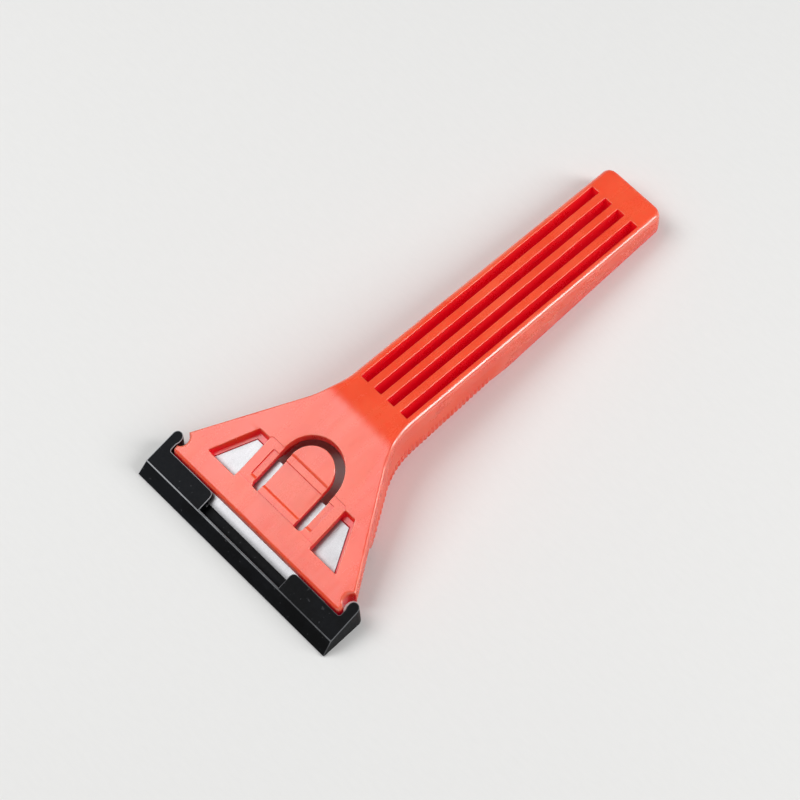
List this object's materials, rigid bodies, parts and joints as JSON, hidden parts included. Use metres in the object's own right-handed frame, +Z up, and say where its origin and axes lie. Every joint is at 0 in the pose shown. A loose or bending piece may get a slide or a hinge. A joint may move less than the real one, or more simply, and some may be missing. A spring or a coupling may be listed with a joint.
{
  "type": "hand scraper",
  "caption": "Hand scraper with a flared, grooved plastic handle, a wide trapezoid blade held by a lifting latch tongue, and a guard that slides off the blade's edge.",
  "frame": {"origin": "middle of the whole tool's bounding box, on the surface it lies on", "axes": "+Z up from the table, -Y toward the blade, +Y toward the handle's end, +X to the right seen from the handle"},
  "size_m": [0.0688, 0.1473, 0.0192],
  "materials": {
    "orange_red_plastic": "satin moulded",
    "blade_steel": "bright ground",
    "black_plastic": "satin moulded"
  },
  "bodies": {
    "body": {"scraper_body": "orange_red_plastic", "blade": "blade_steel"},
    "tongue": {"release_tongue": "orange_red_plastic"},
    "guard": {"blade_guard": "black_plastic"}
  },
  "joints": [
    {"name": "tongue_flex", "type": "hinge", "parent": "body", "child": "tongue", "pos_m": [0, -0.05705, 0.00855], "axis": [1, 0, 0], "range_deg": [0, 9], "stiffness_Nm_per_rad": 0.05},
    {"name": "guard_slide", "type": "slide", "parent": "body", "child": "guard", "axis": [0, -0.9563, -0.2924], "range_m": [0, 0.009]}
  ]
}
